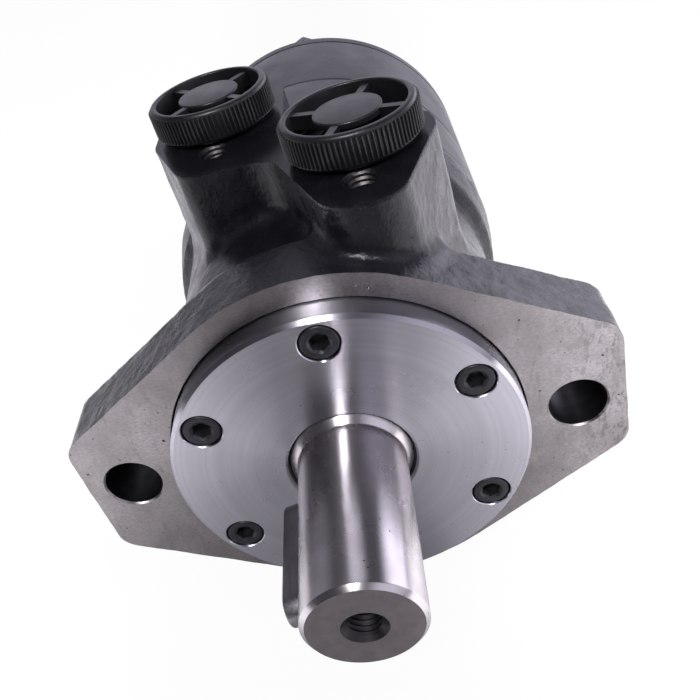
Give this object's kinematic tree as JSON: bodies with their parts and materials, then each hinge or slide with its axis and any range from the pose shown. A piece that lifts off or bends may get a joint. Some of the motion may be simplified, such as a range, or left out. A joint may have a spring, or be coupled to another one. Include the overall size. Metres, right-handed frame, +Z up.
{
  "type": "hydraulic motor",
  "caption": "Orbital hydraulic motor with a two-bolt flange, round pilot, keyed shaft, staggered capped ports on top and a roller gear set behind.",
  "frame": {"origin": "centre of the pilot on the flange mounting face", "axes": "+Z up on the port side, the shaft points along -Y, X runs through the two flange bolt holes; the casting sits turned 2.8 degrees about Y from the holes, so the ports lean that much from +Z towards -X"},
  "size_m": [0.1298, 0.2123, 0.1167],
  "materials": {
    "painted_casting": "satin dark paint over rough cast iron, machined bare on the mounting face",
    "painted_steel": "smooth satin dark paint",
    "turned_steel": "face-turned, fine concentric marks",
    "ground_steel": "ground and lightly polished",
    "key_steel": "drawn bar, dull",
    "black_screws": "black oxide",
    "seal_rubber": "matt",
    "cap_plastic": "moulded",
    "soft_copper": "plain"
  },
  "bodies": {
    "motor_body": {"housing": "painted_casting", "front_cover": "turned_steel", "cover_screw_1": "black_screws", "cover_screw_2": "black_screws", "cover_screw_3": "black_screws", "cover_screw_4": "black_screws", "cover_screw_5": "black_screws", "cover_screw_6": "black_screws", "dust_seal": "seal_rubber", "shaft_seal": "seal_rubber", "cover_o_ring": "seal_rubber", "thrust_race_front": "ground_steel", "channel_plate": "painted_steel", "gear_ring": "painted_steel", "end_cover": "painted_steel", "end_bolt_1": "black_screws", "end_bolt_2": "black_screws", "end_bolt_3": "black_screws", "end_bolt_4": "black_screws", "end_bolt_5": "black_screws", "end_bolt_6": "black_screws", "end_bolt_7": "black_screws", "drain_plug": "ground_steel", "drain_washer": "soft_copper", "plate_front_o_ring": "seal_rubber", "plate_rear_o_ring": "seal_rubber", "cover_rear_o_ring": "seal_rubber", "port_cap_1": "cap_plastic", "port_cap_2": "cap_plastic"},
    "output": {"output_shaft": "ground_steel", "shaft_key": "key_steel", "thrust_race_rear": "ground_steel"},
    "needle_cage": {"thrust_needle_cage": "ground_steel"},
    "orbiter": {"spacer": "ground_steel"},
    "rotor_body": {"rotor": "ground_steel"},
    "cardan": {"cardan_shaft": "ground_steel"},
    "roller_body_1": {"roller_1": "ground_steel"},
    "roller_body_2": {"roller_2": "ground_steel"},
    "roller_body_3": {"roller_3": "ground_steel"},
    "roller_body_4": {"roller_4": "ground_steel"},
    "roller_body_5": {"roller_5": "ground_steel"},
    "roller_body_6": {"roller_6": "ground_steel"},
    "roller_body_7": {"roller_7": "ground_steel"}
  },
  "joints": [
    {"name": "shaft_spin", "type": "hinge", "parent": "motor_body", "child": "output", "pos_m": [0, 0, 0], "axis": [0, 1, 0], "continuous": true},
    {"name": "cage_spin", "type": "hinge", "parent": "motor_body", "child": "needle_cage", "pos_m": [0, 0.011, 0], "axis": [0, 1, 0], "continuous": true},
    {"name": "rotor_orbit", "type": "hinge", "parent": "motor_body", "child": "orbiter", "pos_m": [0, 0.143, 0], "axis": [0, 1, 0], "continuous": true},
    {"name": "rotor_spin", "type": "hinge", "parent": "orbiter", "child": "rotor_body", "pos_m": [-0.0013, 0.129, 0.0027], "axis": [0, 1, 0], "continuous": true},
    {"name": "cardan_spin", "type": "hinge", "parent": "orbiter", "child": "cardan", "pos_m": [-0.0013, 0.129, 0.0027], "axis": [-0.015, 0.9994, 0.031], "continuous": true},
    {"name": "roller_spin_1", "type": "hinge", "parent": "motor_body", "child": "roller_body_1", "pos_m": [-0.01475, 0.129, 0.03063], "axis": [0, 1, 0], "continuous": true},
    {"name": "roller_spin_2", "type": "hinge", "parent": "motor_body", "child": "roller_body_2", "pos_m": [-0.03315, 0.129, 0.00757], "axis": [0, 1, 0], "continuous": true},
    {"name": "roller_spin_3", "type": "hinge", "parent": "motor_body", "child": "roller_body_3", "pos_m": [-0.02658, 0.129, -0.0212], "axis": [0, 1, 0], "continuous": true},
    {"name": "roller_spin_4", "type": "hinge", "parent": "motor_body", "child": "roller_body_4", "pos_m": [0, 0.129, -0.034], "axis": [0, 1, 0], "continuous": true},
    {"name": "roller_spin_5", "type": "hinge", "parent": "motor_body", "child": "roller_body_5", "pos_m": [0.02658, 0.129, -0.0212], "axis": [0, 1, 0], "continuous": true},
    {"name": "roller_spin_6", "type": "hinge", "parent": "motor_body", "child": "roller_body_6", "pos_m": [0.03315, 0.129, 0.00757], "axis": [0, 1, 0], "continuous": true},
    {"name": "roller_spin_7", "type": "hinge", "parent": "motor_body", "child": "roller_body_7", "pos_m": [0.01475, 0.129, 0.03063], "axis": [0, 1, 0], "continuous": true}
  ],
  "couplings": [
    {"joint": "cage_spin", "follows": "shaft_spin", "ratio": 0.5},
    {"joint": "rotor_orbit", "follows": "shaft_spin", "ratio": -6},
    {"joint": "rotor_spin", "follows": "shaft_spin", "ratio": 7},
    {"joint": "cardan_spin", "follows": "shaft_spin", "ratio": 7}
  ]
}
